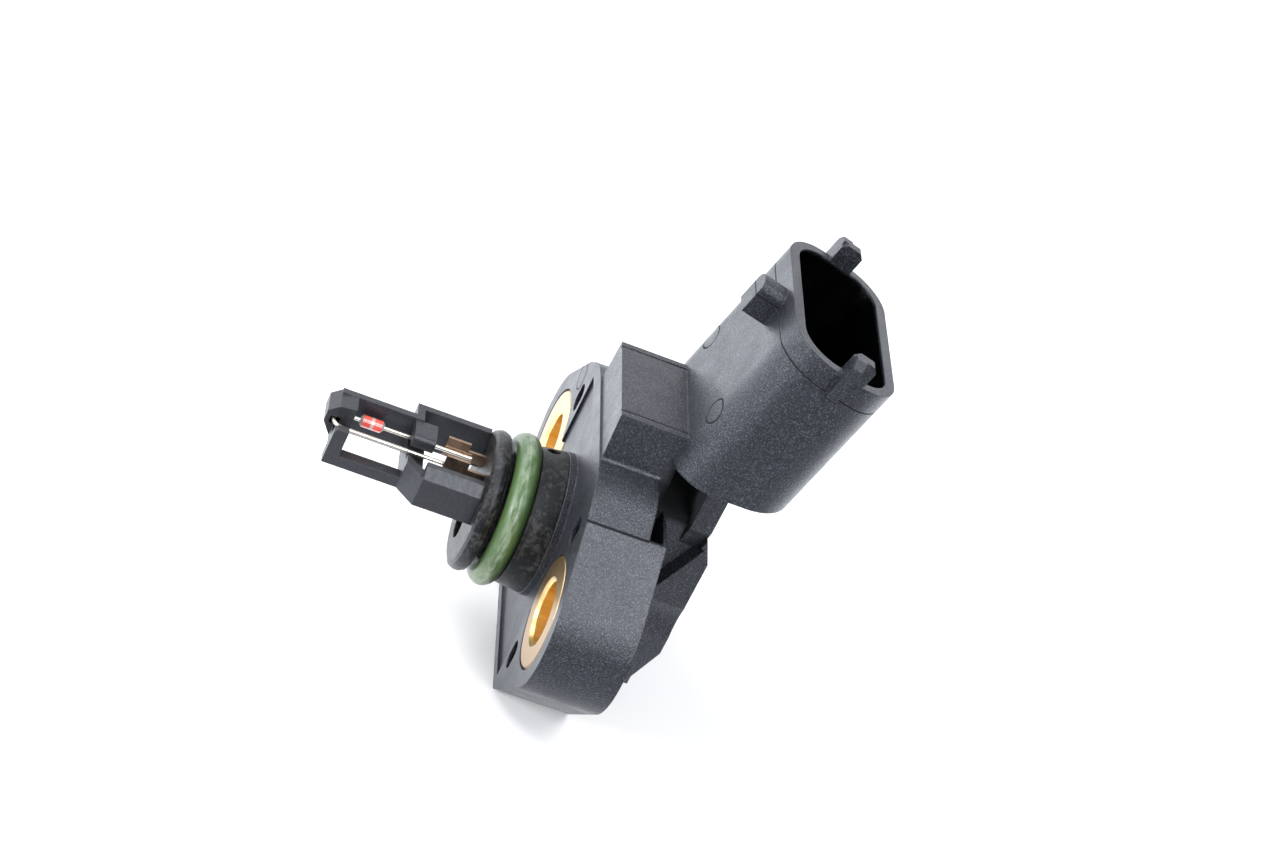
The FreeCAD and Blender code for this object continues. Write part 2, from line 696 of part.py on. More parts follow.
# Port stem: turned shape with a gland for the seal, a pressure bore and slots for the terminals
def make_stem():
    body = doc.addObject("PartDesign::Body", "PortStem")
    profile = sketch_on(body, "XY_Plane", "StemProfile")
    polygon(profile, [
        ("0", "chamber_floor"), ("0", "-disk_face"), ("disk_radius - disk_rim", "-disk_face"),
        ("disk_radius - 0.3 * disk_rim", "0.3 * disk_rim - disk_face"),
        ("disk_radius", "disk_rim - disk_face"), ("disk_radius", "-gland_end - disk_rim"),
        ("disk_radius - 0.3 * disk_rim", "-gland_end - 0.3 * disk_rim"),
        ("disk_radius - disk_rim", "-gland_end"), ("seal_outer_radius - seal_section", "-gland_end"),
        ("seal_outer_radius - seal_section", "-gland_start"),
        ("stem_nose_radius", "-gland_start"), ("stem_root_radius", "-collar_front"),
        ("stem_tube_radius", "-collar_front"), ("stem_tube_radius", "chamber_floor"),
    ])
    turned = body.newObject("PartDesign::Revolution", "StemTurned")
    turned.Profile = profile
    turned.ReferenceAxis = (profile, ["V_Axis"])
    turned.Angle = 360
    body.Tip = turned
    doc.recompute()
    bore = sketch_on(body, "XZ_Plane", "PortBoreOutline", "disk_face")
    circle(bore, "0", "-port_bore_drop", "port_bore_radius")
    extrude(body, "Pocket", bore, "PortBore", "disk_face + chamber_floor")
    for side, hand in ((1, "Right"), (-1, "Left")):
        slot = sketch_on(body, "XZ_Plane", "TailSlotOutline" + hand, "disk_face")
        tail_outline(slot, side, "0")
        extrude(body, "Pocket", slot, "TailSlot" + hand, "disk_face + chamber_floor")
        peg = sketch_on(body, "XZ_Plane", "PegHoleOutline" + hand, "disk_face")
        peg_outline(peg, side, "peg_clearance")
        extrude(body, "Pocket", peg, "PegHole" + hand, "peg_depth + peg_clearance")
    dimple = sketch_on(body, "XY_Plane", "DimpleOutline", "stem_nose_radius - 1.6 * dimple_radius")
    circle(dimple, "-dimple_across", "-dimple_middle", "dimple_radius")
    extrude(body, "Pocket", dimple, "Dimple", "3 * dimple_radius", True)
    return body


def tail_outline(sketch, side, play):
    """Section of a terminal's tail, which lies against the outside of its lead."""
    inner = "(lead_pitch / 2 + lead_radius - %s)" % play
    outer = "(lead_pitch / 2 + lead_radius + blade_thickness + %s)" % play
    left, right = (inner, outer) if side > 0 else ("-" + outer, "-" + inner)
    rectangle(sketch, left, right, "tail_bottom - %s" % play, "tail_bottom + tail_height + %s" % play)


def peg_outline(sketch, side, play):
    """Section of a peg that holds the cage on the stem."""
    inner = "(cage_half_width - side_block_width - %s)" % play
    outer = "(cage_half_width - 0.3 + %s)" % play
    if side < 0:
        inner = "(cage_half_width - cage_wall - %s)" % play
        outer = "(cage_half_width + %s)" % play
    left, right = (inner, outer) if side > 0 else ("-" + outer, "-" + inner)
    rectangle(sketch, left, right, "peg_bottom - %s" % play, "peg_bottom + peg_height + %s" % play)


part_node(make_stem(), "port_stem")


# Seal ring: rests against the shoulder of its gland; twelve flats stand for its round section
def make_seal():
    body = doc.addObject("PartDesign::Body", "SealRing")
    profile = sketch_on(body, "XY_Plane", "SealProfile")
    corners = []
    for turn in range(15, 360, 30):
        corners.append((
            "seal_outer_radius - seal_section / 2 + seal_section / 2 * cos(%d) / cos(15)" % turn,
            "seal_section / 2 * sin(%d) / cos(15) - gland_start - seal_section / 2" % turn,
        ))
    polygon(profile, corners)
    ring = body.newObject("PartDesign::Revolution", "SealTurned")
    ring.Profile = profile
    ring.ReferenceAxis = (profile, ["V_Axis"])
    ring.Angle = 360
    body.Tip = ring
    doc.recompute()
    return body


part_node(make_seal(), "o_ring")


# Probe cage: one light moulding that guards the thermistor
NOSE_TIP = "(cage_tip + nose_overhang)"


def add_side_walls(body):
    """The thick near wall and the thin far wall, which steps in towards the tip."""
    bevelled_side = sketch_on(body, "XZ_Plane", "SideBlockOutline", "cage_step_start")
    polygon(bevelled_side, [
        ("cage_half_width - side_block_width", "cage_bottom"), ("cage_half_width", "cage_bottom"),
        ("cage_half_width", "side_block_top - side_block_bevel"),
        ("cage_half_width - side_block_bevel", "side_block_top"),
        ("cage_half_width - side_block_width", "side_block_top"),
    ])
    extrude(body, "Pad", bevelled_side, "SideBlock", "cage_step_start - disk_face", True)
    far_wall = sketch_on(body, "XY_Plane", "FarWallOutline", "cage_wall_foot")
    polygon(far_wall, [
        ("-cage_half_width", "-disk_face"), ("-cage_half_width", "-cage_step_end"),
        ("-cage_tip_half_width", "-cage_step_end"), ("-cage_tip_half_width", "-cage_tip"),
        ("cage_wall - cage_tip_half_width", "-cage_tip"),
        ("cage_wall - cage_tip_half_width", "cage_wall - cage_step_end"),
        ("cage_wall - cage_half_width", "cage_wall - cage_step_end"),
        ("cage_wall - cage_half_width", "-disk_face"),
    ])
    extrude(body, "Pad", far_wall, "FarWall", "cage_top - cage_wall_foot")


def add_web(body):
    """The cross wall at the step, with the little roof over the bead's leads."""
    web = sketch_on(body, "XY_Plane", "WebOutline", "cage_bottom")
    polygon(web, [
        ("-cage_half_width", "-cage_step_start"), ("cage_half_width", "-cage_step_start"),
        ("cage_tip_half_width", "-cage_step_end"), ("-cage_half_width", "-cage_step_end"),
    ])
    extrude(body, "Pad", web, "Web", "web_top - cage_bottom")
    block = sketch_on(body, "XY_Plane", "StepBlockOutline", "cage_bottom")
    polygon(block, [
        ("cage_half_width - side_block_width", "-cage_step_start"), ("cage_half_width", "-cage_step_start"),
        ("cage_tip_half_width", "-cage_step_end"), ("cage_tip_half_width - rail_width", "-cage_step_end"),
    ])
    extrude(body, "Pad", block, "StepBlock", "side_block_top - side_block_bevel - cage_bottom")
    roof = sketch_on(body, "XZ_Plane", "WebRoofOutline", "cage_step_end")
    rounded_outline(
        roof, "cage_wall / 2 - cage_tip_half_width", "web_roof_reach", "web_roof_foot", "web_roof_top",
        "web_roof_round / 4", "web_roof_round",
    )
    extrude(body, "Pad", roof, "WebRoof", "web_roof_length", True)


def add_tip(body):
    """The near rail and the post and sill at the tip."""
    rail = sketch_on(body, "XY_Plane", "RailOutline", "cage_bottom")
    rectangle(rail, "cage_tip_half_width - rail_width", "cage_tip_half_width", "-cage_tip", "-cage_step_end")
    extrude(body, "Pad", rail, "Rail", "rail_height")
    post = sketch_on(body, "YZ_Plane", "PostOutline", "cage_tip_half_width - post_width")
    polygon(post, [
        ("-cage_tip + post_corner", "cage_bottom"), ("post_length - cage_tip", "cage_bottom"),
        ("post_length - cage_tip", "post_top"), ("-cage_tip + 0.3 * post_corner", "post_top"),
        ("-cage_tip", "post_top - 0.3 * post_corner"), ("-cage_tip", "cage_bottom + post_corner"),
        ("-cage_tip + 0.3 * post_corner", "cage_bottom + 0.3 * post_corner"),
    ])
    extrude(body, "Pad", post, "Post", "post_width")
    sill = sketch_on(body, "YZ_Plane", "SillOutline", "-cage_tip_half_width")
    rectangle(sill, "-cage_tip", "post_length - cage_tip", "nose_foot", "nose_floor")
    extrude(body, "Pad", sill, "Sill", "2 * cage_tip_half_width")


def add_nose(body):
    """The hollow nose over the far half of the tip, where the return lead turns back."""
    nose = sketch_on(body, "YZ_Plane", "NoseOutline", "-cage_tip_half_width")
    polygon(nose, [
        ("nose_length - " + NOSE_TIP, "nose_foot"), ("nose_length - " + NOSE_TIP, "cage_top"),
        ("-cage_tip", "cage_top - 0.2"), ("-" + NOSE_TIP, "post_top"), ("-" + NOSE_TIP, "nose_floor"),
        ("-cage_tip", "nose_foot"),
    ])
    extrude(body, "Pad", nose, "Nose", "cage_tip_half_width + nose_reach")
    slot = sketch_on(body, "XY_Plane", "NoseSlotOutline", "nose_floor")
    rectangle(
        slot, "-nose_slot_depth", "cage_tip_half_width - post_width",
        "nose_slot_wall - " + NOSE_TIP, "nose_slot_wall + nose_slot_length - " + NOSE_TIP,
    )
    extrude(body, "Pocket", slot, "NoseSlot", "web_roof_foot - nose_floor", True)
    channel = sketch_on(body, "XY_Plane", "WireChannelOutline", "nose_floor")
    rectangle(
        channel, "-lead_pitch / 2 - wire_channel / 2", "-lead_pitch / 2 + wire_channel / 2",
        "nose_slot_wall + nose_slot_length / 2 - " + NOSE_TIP, "nose_length + 0.1 - " + NOSE_TIP,
    )
    extrude(body, "Pocket", channel, "WireChannel", "web_roof_foot - nose_floor", True)


def make_cage():
    body = doc.addObject("PartDesign::Body", "ProbeCage")
    for step in (add_side_walls, add_web, add_tip, add_nose):
        step(body)
    for side, name in ((1, "Near"), (-1, "Far")):
        peg = sketch_on(body, "XZ_Plane", name + "PegOutline", "disk_face")
        peg_outline(peg, side, "0")
        extrude(body, "Pad", peg, name + "Peg", "peg_depth", True)
    return body


part_node(make_cage(), "probe_cage")


# Thermistor: a glass bead on two leads, welded to the outsides of two flat terminals
BEAD_FRONT = "(cage_step_end + bead_place * (cage_tip - cage_step_end))"
BEAD_LENGTH = "(bead_share * (cage_tip - cage_step_end))"
BEND_CENTRE = "(cage_tip - bend_setback)"


def make_bead():
    body = doc.addObject("PartDesign::Body", "ThermistorBead")
    outline = sketch_on(body, "XZ_Plane", "BeadOutline", BEAD_FRONT)
    circle(outline, "-lead_pitch / 2", "lead_height", "bead_radius")
    extrude(body, "Pad", outline, "BeadGlass", BEAD_LENGTH, True)
    finish_edges(body, "Chamfer", "BeadEnds", "bead_bevel", is_whole_circle)
    rear = BEAD_FRONT + " - " + BEAD_LENGTH
    for name, lift, reverse in (("Front", BEAD_FRONT, False), ("Rear", rear, True)):
        seat = sketch_on(body, "XZ_Plane", name + "LeadSeatOutline", lift)
        circle(seat, "-lead_pitch / 2", "lead_height", "lead_radius")
        extrude(body, "Pocket", seat, name + "LeadSeat", "lead_seat", reverse)
    return body


def make_lead(name, path_points, bend):
    """A round wire along a flat path; with a bend, the path turns back in a half circle."""
    body = doc.addObject("PartDesign::Body", name)
    path = sketch_on(body, "XY_Plane", name + "Path", "lead_height")
    points = [FreeCAD.Vector(size(across), size(up), 0) for across, up in path_points]
    first = path.addGeometry(Part.LineSegment(points[0], points[1]), False)
    hold(path, first, 1, *path_points[0])
    hold(path, first, 2, *path_points[1])
    if bend:
        lowest = FreeCAD.Vector(0, points[1].y - size("lead_pitch / 2"), 0)
        arc = path.addGeometry(Part.Arc(points[1], lowest, points[2]), False)
        last = path.addGeometry(Part.LineSegment(points[2], points[3]), False)
        path.addConstraint(Sketcher.Constraint("Tangent", first, 2, arc, 1))
        path.addConstraint(Sketcher.Constraint("Tangent", arc, 2, last, 1))
        drive(path, Sketcher.Constraint("Radius", arc, size("lead_pitch / 2")), "lead_pitch / 2")
        drive(path, Sketcher.Constraint("DistanceY", -1, 1, last, 2, points[3].y), path_points[3][1])
    section = sketch_on(body, "XZ_Plane", name + "Section", "-(%s)" % path_points[0][1])
    circle(section, path_points[0][0], "lead_height", "lead_radius")
    doc.recompute()
    wire = body.newObject("PartDesign::AdditivePipe", name + "Wire")
    wire.Profile = section
    wire.Spine = path
    body.Tip = wire
    return body


def make_terminal(name, side):
    body = doc.addObject("PartDesign::Body", name)
    inner = "(lead_pitch / 2 + lead_radius)"
    lift = inner if side > 0 else "-(%s + blade_thickness)" % inner
    outline = sketch_on(body, "YZ_Plane", name + "Outline", lift)
    polygon(outline, [
        ("-blade_front", "blade_bottom"), ("blade_length - blade_front", "blade_bottom"),
        ("blade_length - blade_front", "tail_bottom"),
        ("chamber_floor + board_thickness + tail_length", "tail_bottom"),
        ("chamber_floor + board_thickness + tail_length", "tail_bottom + tail_height"),
        ("blade_length - blade_front", "tail_bottom + tail_height"),
        ("blade_length - blade_front", "blade_bottom + blade_height"),
        ("-blade_front", "blade_bottom + blade_height"),
    ])
    extrude(body, "Pad", outline, name + "Blade", "blade_thickness")
    return body


part_node(make_bead(), "thermistor_bead")
part_node(make_lead("SignalLead", [
    ("-lead_pitch / 2", "%s - lead_seat - %s" % (BEAD_LENGTH, BEAD_FRONT)), ("-lead_pitch / 2", "-lead_end"),
], False), "thermistor_lead_signal")
part_node(make_lead("ReturnLead", [
    ("-lead_pitch / 2", "lead_seat - " + BEAD_FRONT), ("-lead_pitch / 2", "-" + BEND_CENTRE),
    ("lead_pitch / 2", "-" + BEND_CENTRE), ("lead_pitch / 2", "-lead_end"),
], True), "thermistor_lead_return")
part_node(make_terminal("TerminalRight", 1), "thermistor_terminal_right")
part_node(make_terminal("TerminalLeft", -1), "thermistor_terminal_left")


# Plug pins: flat blades moulded into the rear wall, from the chamber up into the socket
def make_pin(number):
    body = doc.addObject("PartDesign::Body", "Pin%d" % (number + 1))
    outline = tilted_sketch(body, "PinOutline%d" % (number + 1), "pin_start")
    pin_outline(outline, number)
    extrude(body, "Pad", outline, "PinBlade%d" % (number + 1), "pin_end - pin_start")
    top = size("(pin_end) * cos(socket_lean) - (pin_seat + pin_thickness) * sin(socket_lean)")
    finish_edges(
        body, "Chamfer", "PinTaper%d" % (number + 1), "pin_taper",
        lambda edge: edge.BoundBox.ZMin > top and edge.BoundBox.XLength > size("pin_width") / 2,
    )
    return body


for number in range(int(size("pin_count"))):
    part_node(make_pin(number), "connector_pin_%d" % (number + 1))


# Circuit: the board lies on the chamber floor and carries the pressure cell and three capacitors
def make_board():
    body = doc.addObject("PartDesign::Body", "CircuitBoard")
    outline = sketch_on(body, "XZ_Plane", "BoardOutline", "-chamber_floor")
    rectangle(outline, "-board_half_width", "board_half_width", "-board_bottom", "board_top")
    circle(outline, "0", "-port_bore_drop", "board_hole_radius")
    tail_outline(outline, 1, "board_slot_clearance")
    tail_outline(outline, -1, "board_slot_clearance")
    extrude(body, "Pad", outline, "Board", "board_thickness", True)
    return body


def square_on_board(body, name, lift, side):
    sketch = sketch_on(body, "XZ_Plane", name, "-(%s)" % lift)
    rectangle(
        sketch, "-%s / 2" % side, "%s / 2" % side,
        "-port_bore_drop - %s / 2" % side, "%s / 2 - port_bore_drop" % side,
    )
    return sketch


def make_pedestal():
    body = doc.addObject("PartDesign::Body", "DiePedestal")
    outline = square_on_board(body, "PedestalOutline", BOARD_BACK, "pedestal_side")
    circle(outline, "0", "-port_bore_drop", "pedestal_bore_radius")
    extrude(body, "Pad", outline, "Pedestal", "pedestal_height", True)
    return body


def make_die():
    body = doc.addObject("PartDesign::Body", "PressureDie")
    outline = square_on_board(body, "DieOutline", BOARD_BACK + " + pedestal_height", "die_side")
    extrude(body, "Pad", outline, "Die", "die_height", True)
    return body


def make_gel_frame():
    body = doc.addObject("PartDesign::Body", "GelFrame")
    outline = sketch_on(body, "XZ_Plane", "GelFrameOutline", "-(%s)" % BOARD_BACK)
    circle(outline, "0", "-port_bore_drop", "ring_outer_radius")
    circle(outline, "0", "-port_bore_drop", "ring_outer_radius - ring_wall")
    extrude(body, "Pad", outline, "GelFrameRing", "ring_height", True)
    return body


def make_gel():
    body = doc.addObject("PartDesign::Body", "ProtectiveGel")
    outline = sketch_on(body, "XZ_Plane", "GelOutline", "-(%s)" % BOARD_BACK)
    circle(outline, "0", "-port_bore_drop", "ring_outer_radius - ring_wall")
    extrude(body, "Pad", outline, "Gel", "gel_height", True)
    for name, lift, side, depth in (
        ("PedestalSpace", BOARD_BACK, "pedestal_side", "pedestal_height"),
        ("DieSpace", BOARD_BACK + " + pedestal_height", "die_side", "die_height"),
    ):
        space = square_on_board(body, name + "Outline", lift, side)
        extrude(body, "Pocket", space, name, depth)
    return body


def make_capacitor(number):
    chip = doc.addObject("Part::Box", "Capacitor%d" % (number + 1))
    bind(chip, Length="capacitor_width", Width="capacitor_height", Height="capacitor_length")
    bind(
        chip, Placement__Base__x="-capacitor_row - capacitor_width / 2", Placement__Base__y=BOARD_BACK,
        Placement__Base__z="(%d) * capacitor_spacing - port_bore_drop - capacitor_length / 2" % (number - 1),
    )
    return chip


BOARD_BACK = "chamber_floor + board_thickness"
part_node(make_board(), "circuit_board")
part_node(make_pedestal(), "die_pedestal")
part_node(make_die(), "pressure_die")
part_node(make_gel_frame(), "gel_frame")
part_node(make_gel(), "protective_gel")
for number in range(3):
    part_node(make_capacitor(number), "capacitor_%d" % (number + 1))


# Cover: a flat lid sunk into the back of the tub, with a bead of adhesive round it
def make_lid():
    body = doc.addObject("PartDesign::Body", "CoverLid")
    outline = sketch_on(body, "XZ_Plane", "LidOutline", "-lid_front")
    lid_outline(outline, "0")
    extrude(body, "Pad", outline, "Lid", "lid_thickness", True)
    return body


def make_adhesive():
    body = doc.addObject("PartDesign::Body", "CoverAdhesive")
    outline = sketch_on(body, "XZ_Plane", "AdhesiveOutline", "-lid_front")
    lid_outline(outline, "glue_gap")
    extrude(body, "Pad", outline, "AdhesiveBlock", "lid_thickness", True)
    inside = sketch_on(body, "XZ_Plane", "AdhesiveInside", "-lid_front")
    lid_outline(inside, "0")
    extrude(body, "Pocket", inside, "AdhesiveOpening", "lid_thickness")
    return body


part_node(make_lid(), "cover_lid")
part_node(make_adhesive(), "cover_adhesive")

doc.recompute()
for thing in doc.Objects:
    if "Invalid" in thing.State or "Error" in thing.State:
        raise RuntimeError("%s is %s" % (thing.Name, thing.State))
os.makedirs("parts", exist_ok=True)
for node in nodes:
    if node.Shape.isNull() or not node.Shape.isValid() or len(node.Shape.Solids) != 1:
        raise RuntimeError("%s is not one valid solid" % node.Label)
for node in nodes:
    node.Shape.exportStep("parts/%s.step" % node.Label)
    print(node.Label, round(node.Shape.Volume, 1))
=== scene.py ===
import math

import bpy
from mathutils import Matrix, Vector


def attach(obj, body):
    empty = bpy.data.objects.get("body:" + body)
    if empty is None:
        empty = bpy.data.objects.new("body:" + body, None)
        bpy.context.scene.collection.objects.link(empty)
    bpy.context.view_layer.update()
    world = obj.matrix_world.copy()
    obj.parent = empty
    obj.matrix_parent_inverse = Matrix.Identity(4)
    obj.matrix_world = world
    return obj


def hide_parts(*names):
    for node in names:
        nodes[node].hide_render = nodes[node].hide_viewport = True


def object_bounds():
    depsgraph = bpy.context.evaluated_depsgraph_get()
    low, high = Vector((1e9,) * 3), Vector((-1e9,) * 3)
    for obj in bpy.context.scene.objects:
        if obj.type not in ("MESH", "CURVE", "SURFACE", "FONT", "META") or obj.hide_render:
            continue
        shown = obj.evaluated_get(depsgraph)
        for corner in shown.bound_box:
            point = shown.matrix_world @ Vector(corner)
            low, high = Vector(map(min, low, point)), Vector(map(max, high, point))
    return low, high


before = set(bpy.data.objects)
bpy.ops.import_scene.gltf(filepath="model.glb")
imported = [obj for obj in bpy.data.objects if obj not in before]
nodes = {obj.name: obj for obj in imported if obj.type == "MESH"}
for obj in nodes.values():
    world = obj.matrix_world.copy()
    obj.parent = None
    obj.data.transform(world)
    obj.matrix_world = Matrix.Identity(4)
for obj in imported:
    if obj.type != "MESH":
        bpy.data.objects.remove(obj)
cad_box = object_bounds()

# Camera: stands to one side of the flange, a little in front of the mounting face and above it.
# Its place and its three directions come from the round bushes and the screw spacing in the photograph.
CAMERA_SPOT = (0.26135, -0.06305, 0.16911)
LOOK_RIGHT = Vector((0.00178, 0.91854, 0.39533))
LOOK_UP = Vector((-0.54192, -0.33136, 0.77235))
SENSOR_WIDTH = 36.0
LENS = 88.99
NEAR_CLIP = 0.01
FAR_CLIP = 20.0

camera_data = bpy.data.cameras.new("camera")
camera_data.sensor_width = SENSOR_WIDTH
camera_data.lens = LENS
camera_data.clip_start = NEAR_CLIP
camera_data.clip_end = FAR_CLIP
camera = bpy.data.objects.new("camera", camera_data)
bpy.context.collection.objects.link(camera)
turn = Matrix((LOOK_RIGHT, LOOK_UP, LOOK_RIGHT.cross(LOOK_UP))).transposed().to_4x4()
camera.matrix_world = Matrix.Translation(CAMERA_SPOT) @ turn
bpy.context.scene.camera = camera
bpy.context.scene.view_settings.view_transform = "Standard"


# Floor and light: a white table that runs out of view, a white room and four lamps.
# The camera sees plain white. Reflections see the bright table behind the part and the dimmer room before it.
COOL_WHITE = (0.97, 0.98, 1.0, 1.0)
COOL_TINT = (0.86, 0.9, 1.0, 1.0)
FALL = (1.0, 0.0)
FLOOR_REACH = 3
FLOOR_DROP = 0.0003
TABLE_GLOW = 2.5
BACK_GLOW = 1.3
FRONT_GLOW = 0.5
SIDE_GLOW = 1.5
CAMERA_GLOW = 0.12
ROOM_LEVEL = 0.5
BEHIND_SPAN = (0.0, 0.04)
AROUND_SPAN = (-0.05, 0.12)
ROOM_SPAN = (-0.2, 0.3)
AHEAD_SPAN = (-0.06, -0.02)
LEAST_AHEAD = 0.01
WEDGE_RISE = (-0.4, -0.15)
WEDGE_FALL = (0.05, 0.2)
WEDGE_SHADE = 0.3
SIDE_RISE = (0.15, 0.4)
SIDE_FALL = (1.2, 2.2)
FOOT_STRETCH = 0.5
FOOT_MIDDLE = 0.003
FOOT_SPAN = (0.006, 0.014)
FOOT_SHADE = 0.55
LAMPS = (
    ("lamp_front", (-0.30, -0.60, 0.65), 0.6, 6.0),
    ("lamp_top", (0.45, 0.20, 0.85), 0.45, 5.0),
    ("lamp_side", (0.30, -0.70, 0.30), 0.25, 5.0),
    ("lamp_near", (0.67, 0.16, 0.39), 0.25, 2.0),
)


class Finish:
    """A material built up node by node; texture places are the part's own metres."""

    def __init__(self, name, colour, roughness, metallic=0.0, ior=1.5):
        self.material = bpy.data.materials.new(name)
        self.material.use_nodes = True
        self.tree = self.material.node_tree
        self.surface = self.tree.nodes["Principled BSDF"]
        self.surface.inputs["Base Color"].default_value = (*colour, 1.0)
        self.surface.inputs["Roughness"].default_value = roughness
        self.surface.inputs["Metallic"].default_value = metallic
        self.surface.inputs["IOR"].default_value = ior
        self.surface.inputs["Specular Tint"].default_value = COOL_TINT
        self.place = self.tree.nodes.new("ShaderNodeTexCoord").outputs["Object"]

    def link(self, source, target):
        self.tree.links.new(source, target)

    def feed(self, socket, value):
        """Link a socket, or set it to a number or to a colour of three numbers."""
        if hasattr(value, "is_output"):
            self.link(value, socket)
        else:
            socket.default_value = (*value, 1.0) if isinstance(value, tuple) else value

    def node(self, kind, **inputs):
        made = self.tree.nodes.new("ShaderNode" + kind)
        for name, value in inputs.items():
            self.feed(made.inputs[name.replace("_", " ")], value)
        return made

    def maths(self, operation, *values):
        made = self.tree.nodes.new("ShaderNodeMath")
        made.operation = operation
        for socket, value in zip(made.inputs, values):
            self.feed(socket, value)
        return made.outputs[0]

    def times(self, first, *others):
        for value in others:
            first = self.maths("MULTIPLY", first, value)
        return first

    def largest(self, first, *others):
        for value in others:
            first = self.maths("MAXIMUM", first, value)
        return first

    def plus(self, first, second):
        return self.maths("ADD", first, second)

    def minus(self, first, second):
        return self.maths("SUBTRACT", first, second)

    def above(self, value, limit):
        return self.maths("GREATER_THAN", value, limit)

    def off(self, value, place):
        """How far a value is from a place, whichever way."""
        return self.maths("ABSOLUTE", self.minus(value, place))

    def length(self, first, second):
        """The length of a step that goes so far one way and so far the other."""
        return self.maths("SQRT", self.plus(self.times(first, first), self.times(second, second)))

    def fade(self, value, span, held=(0.0, 1.0)):
        """Map a value from one span to another, held at both ends."""
        made = self.node(
            "MapRange", Value=value, From_Min=span[0], From_Max=span[1], To_Min=held[0], To_Max=held[1])
        return made.outputs[0]

    def mix(self, share, first, second):
        """Blend two colours, each a colour or a socket."""
        made = self.tree.nodes.new("ShaderNodeMix")
        made.data_type = "RGBA"
        for place, value in ((0, share), (6, first), (7, second)):
            self.feed(made.inputs[place], value)
        return made.outputs[2]

    def noise(self, scale, detail=3.0, roughness=0.6, vector=None):
        made = self.node(
            "TexNoise", Scale=scale, Detail=detail, Roughness=roughness, Vector=vector or self.place)
        return made.outputs[0]

    def drawn_out(self, scale):
        """The part's own places, shrunk along some axes so that a noise runs in streaks there."""
        made = self.node("Mapping", Vector=self.place)
        made.inputs["Scale"].default_value = scale
        return made.outputs[0]

    def axes(self):
        made = self.node("SeparateXYZ", Vector=self.place)
        return made.outputs[0], made.outputs[1], made.outputs[2]

    def colour(self, socket):
        self.link(socket, self.surface.inputs["Base Color"])

    def roughness(self, socket):
        self.link(socket, self.surface.inputs["Roughness"])

    def so_far(self, name):
        """What already feeds a socket of the surface."""
        return self.surface.inputs[name].links[0].from_socket

    def soft_edges(self, radius):
        """Shade the sharp edges as if they were rounded; it has to come before any bump."""
        made = self.node("Bevel", Radius=radius)
        made.samples = 4
        self.link(made.outputs[0], self.surface.inputs["Normal"])

    def bump(self, height, depth, strength=1.0):
        """Raise the surface by a height from 0 to 1 times a depth in metres."""
        made = self.node("Bump", Strength=strength, Distance=depth, Height=height)
        before = self.surface.inputs["Normal"]
        if before.is_linked:
            self.link(before.links[0].from_socket, made.inputs["Normal"])
        self.link(made.outputs[0], before)

    def dust(self, shade, scale, size, share, pale):
        """Lay a few pale specks over a colour: one in some of the cells, each much smaller than its cell."""
        cells = self.node("TexVoronoi", Scale=scale, Vector=self.place)
        draw = self.node("SeparateColor", Color=cells.outputs["Color"]).outputs[0]
        chosen = self.fade(draw, (share, share + 0.01), FALL)
        spot = self.fade(cells.outputs["Distance"], (0.6 * size * scale, size * scale), FALL)
        return self.mix(self.times(chosen, spot), shade, pale)


# What the camera sees of the table is white; what a reflection sees is a pattern of glow about the part.
table = Finish("white_table", (0.9, 0.9, 0.91), 0.9)
table.colour(table.mix(table.noise(60.0), (0.89, 0.9, 0.92), (0.92, 0.92, 0.93)))
ray = table.node("LightPath")
table.surface.inputs["Emission Color"].default_value = COOL_WHITE
table.link(table.times(ray.outputs["Is Camera Ray"], CAMERA_GLOW), table.surface.inputs["Emission Strength"])
table_across, table_away, _ = table.axes()
behind = table.fade(table_across, BEHIND_SPAN, (TABLE_GLOW, 0.0))
around = table.fade(table_across, AROUND_SPAN, (BACK_GLOW, FRONT_GLOW))
bearing = table.maths("DIVIDE", table_across, table.largest(table.times(table_away, -1.0), LEAST_AHEAD))
ahead = table.fade(table_away, AHEAD_SPAN, FALL)
wedge = table.times(table.fade(bearing, WEDGE_RISE), table.fade(bearing, WEDGE_FALL, FALL))
wedge = table.minus(1.0, table.times(wedge, ahead, WEDGE_SHADE))
beside = table.times(table.fade(bearing, SIDE_RISE, (0.0, SIDE_GLOW)), table.fade(bearing, SIDE_FALL, FALL))
lit = table.largest(behind, around, table.times(beside, ahead))
from_foot = table.length(table.times(table_across, FOOT_STRETCH), table.minus(table_away, FOOT_MIDDLE))
lit = table.times(lit, table.fade(from_foot, FOOT_SPAN, (FOOT_SHADE, 1.0)))
mirrored = table.node("Emission", Color=(0.92, 0.95, 1.0), Strength=table.times(lit, wedge))
choice = table.node("MixShader")
table.link(ray.outputs["Is Glossy Ray"], choice.inputs[0])
table.link(table.surface.outputs[0], choice.inputs[1])
table.link(mirrored.outputs[0], choice.inputs[2])
table.link(choice.outputs[0], table.tree.nodes["Material Output"].inputs["Surface"])

floor_height = cad_box[0][2] - FLOOR_DROP
floor_mesh = bpy.data.meshes.new("floor")
floor_mesh.from_pydata(
    [(FLOOR_REACH * x, FLOOR_REACH * y, floor_height) for x, y in ((-1, -1), (1, -1), (1, 1), (-1, 1))],
    [], [(0, 1, 2, 3)],
)
floor_mesh.update()
floor_mesh.materials.append(table.material)
floor = bpy.data.objects.new("floor", floor_mesh)
bpy.context.collection.objects.link(floor)

